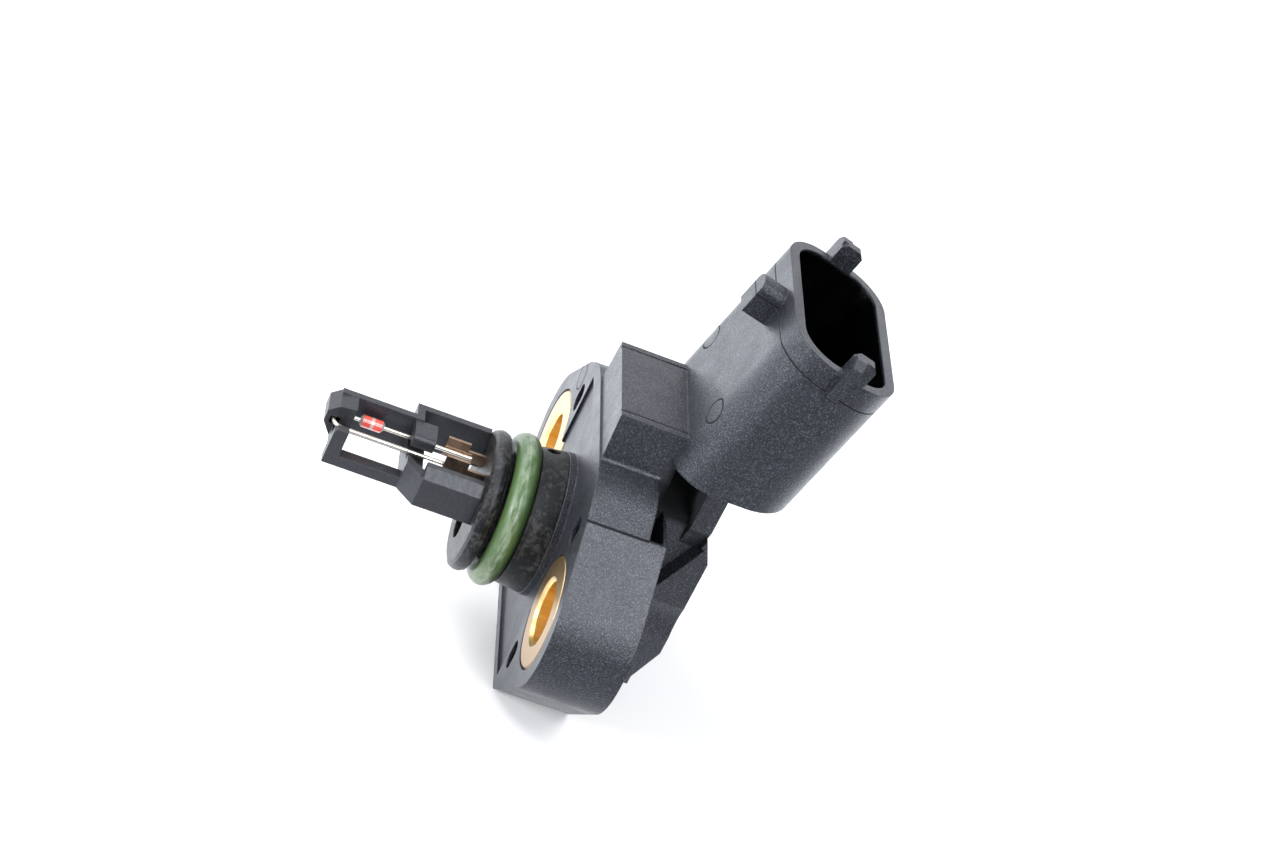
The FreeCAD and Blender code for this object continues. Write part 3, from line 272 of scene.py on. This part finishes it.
room = bpy.data.worlds.new("room")
bpy.context.scene.world = room
room.use_nodes = True
room_nodes = room.node_tree.nodes
room_link = room.node_tree.links.new
room_light = room_nodes["Background"]
room_light.inputs["Color"].default_value = COOL_WHITE
room_ray = room_nodes.new("ShaderNodeLightPath")
room_way = room_nodes.new("ShaderNodeSeparateXYZ")
room_link(room_nodes.new("ShaderNodeTexCoord").outputs["Generated"], room_way.inputs[0])
glow = room_nodes.new("ShaderNodeMapRange")
for socket, value in zip(("From Min", "From Max", "To Min", "To Max"), (*ROOM_SPAN, BACK_GLOW, FRONT_GLOW)):
    glow.inputs[socket].default_value = value
room_link(room_way.outputs[0], glow.inputs["Value"])
level = room_nodes.new("ShaderNodeMix")
level.inputs[2].default_value = ROOM_LEVEL
room_link(room_ray.outputs["Is Glossy Ray"], level.inputs[0])
room_link(glow.outputs[0], level.inputs[3])
shown = room_nodes.new("ShaderNodeMix")
shown.inputs[3].default_value = 1.0
room_link(room_ray.outputs["Is Camera Ray"], shown.inputs[0])
room_link(level.outputs[0], shown.inputs[2])
room_link(shown.outputs[0], room_light.inputs["Strength"])

for name, spot, size, power in LAMPS:
    lamp = bpy.data.lights.new(name, "AREA")
    lamp.shape = "DISK"
    lamp.size = size
    lamp.energy = power
    holder = bpy.data.objects.new(name, lamp)
    bpy.context.collection.objects.link(holder)
    holder.location = spot
    holder.rotation_euler = (-Vector(spot)).to_track_quat("-Z", "Y").to_euler()


# Housing: one moulding in black glass-filled nylon with a fine grain; pale specks in its colour are painted
# highlights.
# The ejector marks and the mould lines that the tool left are drawn in its surface. The inside of the socket,
# the core holes and the gap behind the block are made near black as a painted shade.
NYLON_BLACK = (0.0025, 0.0033, 0.005)
NYLON_PAINTED_SPARKLE = (0.085, 0.094, 0.118)
PAINTED_SHADE_BLACK = (0.0004, 0.0005, 0.0006)
MARK_BLACK = (0.0, 0.0, 0.0)
LINT = (0.6, 0.62, 0.65)
GRAIN = (7000.0, 2.0, 0.7)
CLOUD = (320.0, 3.0, 0.55)
PITS = (4800.0, 2.0, 0.7)
PAINTED_SPARKLE_SPAN = (0.5, 0.68)
PAINTED_SPARKLE_SHARE = 0.8
SOCKET_LEAN = math.radians(14.0)
SOCKET_WALL_HALF = (0.0067, 0.00145)
SOCKET_MIDDLE = 0.00835
SOCKET_CORNER = 0.00395
SOCKET_EDGE = (SOCKET_CORNER + 0.0001, SOCKET_CORNER + 0.00025)
SOCKET_MOUTH = (0.0362, 0.0365)
SOCKET_FLOOR = 0.021
CORE_FRONT = 0.0004
CORE_BACK = 0.0041
CORE_PLACES = (0.0119, 0.0081)
CORE_HALVES = (0.00105, 0.0016)
RECESS_FRONT = (0.0058, 0.0072)
RECESS_BACK = 0.0122
RECESS_SIDE = (0.0088, 0.0094)
RECESS_FOOT = (0.0096, 0.0106)
RECESS_TOP = (0.0152, 0.0165)
FRONTAL_SPAN = (-0.9, -0.85)
SIDEWAYS = 0.5
LOBE_SIDE = 0.0125
LOBE_BACK = 0.0064
LOBE_LINE = 0.0111
MOULD_LINE = 0.0342
LINE_EDGE = (0.00005, 0.00009)
EJECTOR_SPOT = (0.0068, 0.0241, 0.0013)
FACE_SPOT = (0.0149, 0.0088, 0.0014)
SPOT_EDGE = (0.00007, 0.00011)
MARK_DEPTH = 0.00012
DEEP_GLOSS = 0.25
LEAST_ROUGHNESS = 0.05


def glass_filled(name, colour, painted_sparkle):
    """Black nylon full of short glass fibre: cloudy and finely pitted, with pale specks of painted highlight.
    """
    finish = Finish(name, colour, 0.4, ior=1.64)
    finish.soft_edges(0.00018)
    grain = finish.noise(*GRAIN)
    cloud = finish.noise(*CLOUD)
    base = finish.mix(cloud, tuple(c * 0.8 for c in colour), tuple(c * 1.2 for c in colour))
    # Pale specks mixed into the colour are painted highlights standing in for sparkle, not a colour of the
    # nylon.
    base = finish.mix(finish.times(finish.fade(grain, PAINTED_SPARKLE_SPAN), PAINTED_SPARKLE_SHARE), base, painted_sparkle)
    finish.colour(finish.dust(base, 230.0, 0.00011, 0.08, LINT))
    finish.roughness(finish.fade(finish.plus(grain, cloud), (0.7, 1.3), (0.46, 0.3)))
    finish.bump(finish.noise(*PITS), 0.00008, 0.7)
    return finish


def circle_mark(finish, first, second, spot):
    """The thin round line that an ejector pin leaves about a spot."""
    reach = finish.length(finish.minus(first, spot[0]), finish.minus(second, spot[1]))
    return finish.fade(finish.off(reach, spot[2]), SPOT_EDGE, FALL)


def thin_line(finish, value, place):
    return finish.fade(finish.off(value, place), LINE_EDGE, FALL)


def dress(node, finish):
    """Give a carried-over solid its finish."""
    solid = nodes[node]
    solid.data.materials.clear()
    solid.data.materials.append(finish.material)


nylon = glass_filled("glass_filled_black", NYLON_BLACK, NYLON_PAINTED_SPARKLE)
across, away, up = nylon.axes()
beside = nylon.maths("ABSOLUTE", across)
along = nylon.plus(nylon.times(away, math.sin(SOCKET_LEAN)), nylon.times(up, math.cos(SOCKET_LEAN)))
depth = nylon.minus(nylon.times(away, math.cos(SOCKET_LEAN)), nylon.times(up, math.sin(SOCKET_LEAN)))

wide = nylon.largest(nylon.minus(beside, SOCKET_WALL_HALF[0]), 0.0)
deep = nylon.largest(nylon.minus(nylon.off(depth, SOCKET_MIDDLE), SOCKET_WALL_HALF[1]), 0.0)
hollow = nylon.times(
    nylon.fade(nylon.length(wide, deep), SOCKET_EDGE, FALL), nylon.fade(along, SOCKET_MOUTH, FALL),
    nylon.above(along, SOCKET_FLOOR),
)
near_core = nylon.times(nylon.above(away, CORE_FRONT), nylon.above(CORE_BACK, away))
for value, place, half in zip((across, up), CORE_PLACES, CORE_HALVES):
    off_core = nylon.off(nylon.maths("ABSOLUTE", value), place)
    near_core = nylon.times(near_core, nylon.above(half, off_core))
recess = nylon.times(
    nylon.fade(away, RECESS_FRONT), nylon.above(RECESS_BACK, away), nylon.fade(beside, RECESS_SIDE, FALL),
    nylon.times(nylon.fade(up, RECESS_FOOT), nylon.fade(up, RECESS_TOP, FALL)),
)
# These three masks carry a painted shade: where they lie the colour turns near black.
painted_shade = nylon.largest(hollow, near_core, recess)

facing = nylon.node("SeparateXYZ", Vector=nylon.node("NewGeometry").outputs["Normal"]).outputs[1]
frontal = nylon.fade(facing, FRONTAL_SPAN, FALL)
sideways = nylon.times(
    nylon.above(SIDEWAYS, nylon.maths("ABSOLUTE", facing)), nylon.above(beside, LOBE_SIDE),
    nylon.above(LOBE_BACK, away),
)
marks = nylon.largest(
    nylon.times(circle_mark(nylon, beside, along, EJECTOR_SPOT), frontal),
    nylon.times(circle_mark(nylon, beside, up, FACE_SPOT), frontal),
    nylon.times(thin_line(nylon, up, LOBE_LINE), sideways),
    thin_line(nylon, along, MOULD_LINE),
)
marks = nylon.times(marks, nylon.minus(1.0, hollow))

nylon.colour(nylon.mix(painted_shade, nylon.mix(marks, nylon.so_far("Base Color"), MARK_BLACK), PAINTED_SHADE_BLACK))
gloss = nylon.minus(nylon.so_far("Roughness"), nylon.times(painted_shade, DEEP_GLOSS))
gloss = nylon.fade(gloss, (LEAST_ROUGHNESS, 1.0), (LEAST_ROUGHNESS, 1.0))
nylon.roughness(nylon.largest(gloss, marks, recess))
nylon.bump(nylon.minus(1.0, marks), MARK_DEPTH)
dress("housing", nylon)


# Port stem: the neck that plugs into the manifold and leads its air to the chamber.
# It is moulded in a duller black than the housing, clouded with grey, and seated in the housing's collar.
STEM_DARK = (0.0005, 0.0005, 0.0005)
STEM_GREY = (0.045, 0.043, 0.041)
STEM_LINT = (0.45, 0.43, 0.4)
STEM_CLOUDS = (0.8, 1.02)
LIP_LINE = -0.0029
LIP_SHARE = 0.6

stem_finish = Finish("mottled_black", (0.01, 0.01, 0.01), 0.5, ior=1.42)
stem_finish.soft_edges(0.0002)
mottle = stem_finish.noise(1700.0, 5.0, 0.7)
patch = stem_finish.noise(260.0, 3.0, 0.6)
blend = stem_finish.fade(stem_finish.plus(mottle, stem_finish.times(patch, 0.7)), STEM_CLOUDS)
stem_shade = stem_finish.mix(blend, STEM_DARK, STEM_GREY)
lip = thin_line(stem_finish, stem_finish.axes()[1], LIP_LINE)
stem_shade = stem_finish.mix(stem_finish.times(lip, LIP_SHARE), stem_shade, MARK_BLACK)
stem_finish.colour(stem_finish.dust(stem_shade, 320.0, 0.00008, 0.08, STEM_LINT))
stem_finish.roughness(stem_finish.fade(mottle, (0.3, 0.7), (0.34, 0.56)))
stem_finish.bump(mottle, 0.00008, 0.7)
dress("port_stem", stem_finish)


# Probe cage: a light open moulding that guards the thermistor and lets the air through to it.
# It is a separate insert with a satin surface, seated in the end of the stem.
cage_finish = Finish("cage_black", (0.02, 0.02, 0.023), 0.45, ior=1.6)
cage_finish.soft_edges(0.00012)
cage_grain = cage_finish.noise(2600.0, 3.0, 0.7)
cage_finish.colour(cage_finish.mix(cage_grain, (0.002, 0.002, 0.003), (0.028, 0.028, 0.033)))
cage_finish.roughness(cage_finish.fade(cage_grain, (0.3, 0.7), (0.5, 0.36)))
cage_finish.bump(cage_grain, 0.00003, 0.5)
dress("probe_cage", cage_finish)


# Seal ring: a green rubber ring of round section, moulded smooth, that turns olive towards the bottom.
# A pale streak along its crown is a painted highlight, and its rear edge is darkened as a painted shade.
# It is stretched into the gland of the stem and rests against the gland's shoulder.
SEAL_SIZES = {
    "Ring Radius": 0.00669, "Section Radius": 0.00131, "Place": -0.00456, "Turns": 192, "Rounds": 36,
}
SEAL_GREENS = ((0.03, 0.07, 0.018), (0.075, 0.13, 0.045))
SEAL_OLIVE = (0.2, 0.23, 0.1)
SEAL_PAINTED_HIGHLIGHT = (0.34, 0.4, 0.31)
SEAL_SHADE = (0.008, 0.02, 0.005)
LOW_SPAN = (-0.0075, -0.002)
CROWN_RISE = (-0.0011, -0.0003)
CROWN_FALL = (0.0, 0.0006)
REAR_SPAN = (0.0005, 0.0011)


def node_piece(name, tree_name, sizes, material, build, path=None):
    """Make a mesh with a tree of geometry nodes whose sizes are named inputs; a path may be swept."""
    tree = bpy.data.node_groups.new(tree_name, "GeometryNodeTree")
    tree.interface.new_socket("Geometry", in_out="OUTPUT", socket_type="NodeSocketGeometry")
    if path:
        tree.interface.new_socket("Path", in_out="INPUT", socket_type="NodeSocketGeometry")
    keys = {}
    for label, value in sizes.items():
        kind = "NodeSocketInt" if isinstance(value, int) else "NodeSocketFloat"
        keys[tree.interface.new_socket(label, in_out="INPUT", socket_type=kind).identifier] = value
    given = tree.nodes.new("NodeGroupInput").outputs
    made = build(tree, given)
    real = tree.nodes.new("GeometryNodeRealizeInstances")
    coat = tree.nodes.new("GeometryNodeSetMaterial")
    coat.inputs["Material"].default_value = material
    tree.links.new(made, real.inputs[0])
    tree.links.new(real.outputs[0], coat.inputs["Geometry"])
    tree.links.new(coat.outputs[0], tree.nodes.new("NodeGroupOutput").inputs[0])
    shaper = bpy.data.objects.new(name + "_shaper", path or bpy.data.meshes.new(name + "_start"))
    bpy.context.collection.objects.link(shaper)
    modifier = shaper.modifiers.new(tree_name, "NODES")
    modifier.node_group = tree
    for key, value in keys.items():
        modifier[key] = value
    mesh = bpy.data.meshes.new_from_object(shaper.evaluated_get(bpy.context.evaluated_depsgraph_get()))
    shaper.modifiers.clear()
    bpy.data.objects.remove(shaper)
    mesh.name = name
    piece = bpy.data.objects.new(name, mesh)
    bpy.context.collection.objects.link(piece)
    return piece


def turned_ring(tree, given):
    """A round section swept about the Y axis."""
    path = tree.nodes.new("GeometryNodeCurvePrimitiveCircle")
    section = tree.nodes.new("GeometryNodeCurvePrimitiveCircle")
    for circle, radius, steps in ((path, "Ring Radius", "Turns"), (section, "Section Radius", "Rounds")):
        tree.links.new(given[radius], circle.inputs["Radius"])
        tree.links.new(given[steps], circle.inputs["Resolution"])
    sweep = tree.nodes.new("GeometryNodeCurveToMesh")
    tree.links.new(path.outputs[0], sweep.inputs["Curve"])
    tree.links.new(section.outputs[0], sweep.inputs["Profile Curve"])
    smooth = tree.nodes.new("GeometryNodeSetShadeSmooth")
    tree.links.new(sweep.outputs[0], smooth.inputs[0])
    spot = tree.nodes.new("ShaderNodeCombineXYZ")
    tree.links.new(given["Place"], spot.inputs["Y"])
    turn_over = tree.nodes.new("GeometryNodeTransform")
    turn_over.inputs["Rotation"].default_value = (math.pi / 2, 0.0, 0.0)
    tree.links.new(smooth.outputs[0], turn_over.inputs["Geometry"])
    tree.links.new(spot.outputs[0], turn_over.inputs["Translation"])
    return turn_over.outputs[0]


rubber = Finish("green_rubber", (0.09, 0.17, 0.06), 0.4)
bloom = rubber.noise(350.0, 4.0, 0.6)
_, seal_away, seal_up = rubber.axes()
off_crown = rubber.minus(seal_away, SEAL_SIZES["Place"])
low = rubber.fade(seal_up, LOW_SPAN, FALL)
crown = rubber.times(rubber.fade(off_crown, CROWN_RISE), rubber.fade(off_crown, CROWN_FALL, FALL))
painted_streak = rubber.fade(rubber.noise(2400.0, 3.0, 0.6, rubber.drawn_out((0.25, 1.0, 0.25))), (0.4, 0.62))
rear = rubber.fade(off_crown, REAR_SPAN)
green = rubber.mix(bloom, *SEAL_GREENS)
green = rubber.mix(rubber.times(low, 0.6), green, SEAL_OLIVE)
# A pale streak along the crown is a painted highlight; the darker rear of the section below is a painted
# shade.
green = rubber.mix(rubber.times(crown, painted_streak, 0.5), green, SEAL_PAINTED_HIGHLIGHT)
rubber.colour(rubber.mix(rubber.times(rear, 0.8), green, SEAL_SHADE))
rubber.roughness(rubber.fade(bloom, (0.3, 0.7), (0.3, 0.44)))
rubber.bump(rubber.noise(3000.0), 0.00002, 0.3)
rubber.surface.inputs["Subsurface Weight"].default_value = 0.1
rubber.surface.inputs["Subsurface Radius"].default_value = (0.0006, 0.0008, 0.0005)
seal = node_piece("seal_ring", "seal_ring_shape", SEAL_SIZES, rubber.material, turned_ring)
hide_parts("o_ring")
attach(seal, "root")


# Screw bushes: two turned brass tubes set in the lobes, which take the load of the screws off the plastic.
# Their ends are faced in fine rings, one browner than the other, and their bores show the drawn gold.
BUSH_SIDE = 0.015
FACE_SPAN = (0.0033, 0.0037)
RING_PITCH = 42000.0
BORE_GOLDS = ((0.92, 0.6, 0.2), (1.0, 0.82, 0.42))
FACE_BRASSES = ((0.5, 0.37, 0.19), (0.66, 0.5, 0.3))
FACE_TANS = ((0.4, 0.26, 0.12), (0.52, 0.37, 0.2))

brass = Finish("turned_brass", (0.82, 0.66, 0.36), 0.25, metallic=1.0)
brass.soft_edges(0.0001)
bush_across, _, bush_up = brass.axes()
reach = brass.length(brass.minus(brass.maths("ABSOLUTE", bush_across), BUSH_SIDE), bush_up)
rings = brass.maths("SINE", brass.times(reach, RING_PITCH))
worn = brass.noise(700.0, 4.0, 0.6)
streak = brass.fade(brass.noise(1500.0, 3.0, 0.6, brass.drawn_out((1.0, 0.06, 1.0))), (0.35, 0.65))
faced = brass.fade(reach, FACE_SPAN)
face = brass.mix(brass.above(bush_across, 0.0), brass.mix(worn, *FACE_BRASSES), brass.mix(worn, *FACE_TANS))
brass.colour(brass.mix(faced, brass.mix(streak, *BORE_GOLDS), face))
brass.roughness(brass.fade(brass.plus(worn, brass.times(faced, 0.3)), (0.3, 1.0), (0.3, 0.42)))
brass.bump(brass.times(rings, faced), 0.000006, 0.5)
dress("bush_left", brass)
dress("bush_right", brass)


# Thermistor: a bead of red glass with a clear middle, which feels how warm the air is.
# Its two tinned wires are welded to flat copper strips that stand in the stem.
BEAD_MIDDLE = -0.02006
CLEAR_EDGE = (0.00008, 0.00022)
RED_EDGE = (0.00095, 0.0011)
BEAD_REDS = ((0.62, 0.04, 0.02), (0.75, 0.09, 0.05))
BEAD_CLEAR = (0.42, 0.4, 0.4)
LEAD_HEIGHT = 0.00345
LEAD_SIDE = 0.00127
LEAD_BEND = -0.0227
LEAD_END = -0.0095
SIGNAL_START = -0.0193
RETURN_START = -0.0208
BEND_STEPS = 24
WIRE_SIZES = {"Wire Radius": 0.00022, "Sides": 20}

glass = Finish("banded_glass", (0.5, 0.06, 0.03), 0.08)
from_middle = glass.off(glass.axes()[1], BEAD_MIDDLE)
red = glass.times(glass.fade(from_middle, CLEAR_EDGE), glass.fade(from_middle, RED_EDGE, FALL))
glass.colour(glass.mix(red, BEAD_CLEAR, glass.mix(glass.noise(1800.0), *BEAD_REDS)))
glass.surface.inputs["Coat Weight"].default_value = 1.0
dress("thermistor_bead", glass)

tin = Finish("tinned_wire", (0.6, 0.58, 0.54), 0.3, metallic=1.0)
tarnish = tin.noise(1500.0)
tin.colour(tin.mix(tarnish, (0.58, 0.57, 0.55), (0.46, 0.41, 0.33)))
tin.roughness(tin.fade(tarnish, (0.3, 0.7), (0.22, 0.4)))


def swept_wire(tree, given):
    """A round wire along the curve that the tree is given."""
    section = tree.nodes.new("GeometryNodeCurvePrimitiveCircle")
    tree.links.new(given["Wire Radius"], section.inputs["Radius"])
    tree.links.new(given["Sides"], section.inputs["Resolution"])
    sweep = tree.nodes.new("GeometryNodeCurveToMesh")
    sweep.inputs["Fill Caps"].default_value = True
    tree.links.new(given["Path"], sweep.inputs["Curve"])
    tree.links.new(section.outputs[0], sweep.inputs["Profile Curve"])
    smooth = tree.nodes.new("GeometryNodeSetShadeSmooth")
    tree.links.new(sweep.outputs[0], smooth.inputs[0])
    return smooth.outputs[0]


def wire_path(name, points):
    curve = bpy.data.curves.new(name, "CURVE")
    curve.dimensions = "3D"
    spline = curve.splines.new("POLY")
    spline.points.add(len(points) - 1)
    for point, (side, away) in zip(spline.points, points):
        point.co = (side, away, LEAD_HEIGHT, 1.0)
    return curve


bend = [math.pi * step / BEND_STEPS for step in range(BEND_STEPS + 1)]
bend = [(-LEAD_SIDE * math.cos(angle), LEAD_BEND - LEAD_SIDE * math.sin(angle)) for angle in bend]
LEADS = {
    "signal": [(-LEAD_SIDE, SIGNAL_START), (-LEAD_SIDE, LEAD_END)],
    "return": [(-LEAD_SIDE, RETURN_START)] + bend + [(LEAD_SIDE, LEAD_END)],
}
for lead, points in LEADS.items():
    wire = node_piece(
        "wire_" + lead, "wire_%s_sweep" % lead, WIRE_SIZES, tin.material, swept_wire,
        wire_path("path_" + lead, points),
    )
    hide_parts("thermistor_lead_" + lead)
    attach(wire, "root")

copper = Finish("copper_strip", (0.4, 0.28, 0.2), 0.35, metallic=1.0)
rolled = copper.noise(900.0, 5.0, 0.7)
copper.colour(copper.mix(rolled, (0.16, 0.1, 0.07), (0.52, 0.38, 0.28)))
copper.roughness(copper.fade(rolled, (0.3, 0.7), (0.26, 0.45)))
dress("thermistor_terminal_left", copper)
dress("thermistor_terminal_right", copper)


# Plug pins: four flat blades of tinned metal, fixed in the housing.
# They stand in the dark of the socket, where the plug grips them; their colour is made far darker than tin's
# as a painted shade.
blade = Finish("shade_painted_tin_blade", (0.2, 0.2, 0.19), 0.35, metallic=1.0)
wipe = blade.noise(1200.0)
blade.colour(blade.mix(wipe, (0.16, 0.15, 0.14), (0.26, 0.25, 0.23)))
blade.roughness(blade.fade(wipe, (0.3, 0.7), (0.28, 0.45)))
for number in range(1, 5):
    dress("connector_pin_%d" % number, blade)


# Circuit in the chamber: a white ceramic board with the pressure cell, its gel frame and three capacitors.
# The cell stands on a glass pedestal under a soft gel, and the lid hides all of it.
def plain_grain(name, dark, light, roughness, scale, metallic=0.0):
    finish = Finish(name, dark, roughness, metallic)
    grain = finish.noise(scale)
    finish.colour(finish.mix(grain, dark, light))
    finish.roughness(finish.fade(grain, (0.3, 0.7), (roughness, roughness + 0.12)))
    return finish


CAPACITOR_BROWNS = ((0.35, 0.24, 0.14), (0.5, 0.37, 0.24))
dress("circuit_board", plain_grain("board_ceramic", (0.7, 0.7, 0.66), (0.82, 0.82, 0.78), 0.45, 1500.0))
dress("die_pedestal", plain_grain("pedestal_glass", (0.6, 0.66, 0.64), (0.72, 0.77, 0.75), 0.15, 900.0))
dress("pressure_die", plain_grain("die_silicon", (0.2, 0.21, 0.26), (0.3, 0.31, 0.36), 0.12, 900.0, 0.6))
dress("gel_frame", plain_grain("frame_plastic", (0.03, 0.03, 0.032), (0.06, 0.06, 0.064), 0.5, 2200.0))
dress("protective_gel", plain_grain("silicone_gel", (0.6, 0.63, 0.66), (0.7, 0.73, 0.75), 0.1, 400.0))
for number in range(1, 4):
    body = plain_grain("capacitor_%d_body" % number, *CAPACITOR_BROWNS, 0.5, 2500.0)
    dress("capacitor_%d" % number, body)


# Cover: a lid of the housing's own plastic that closes the back of the tub.
# It is glued on its ledge with a bead of dark silicone all round.
SILICONE_BLACKS = ((0.03, 0.03, 0.032), (0.055, 0.055, 0.058))
# Its pale specks, as on the housing, are painted highlights.
dress("cover_lid", glass_filled("lid_black", (0.009, 0.011, 0.015), (0.08, 0.09, 0.11)))
dress("cover_adhesive", plain_grain("dark_silicone", *SILICONE_BLACKS, 0.35, 1800.0))
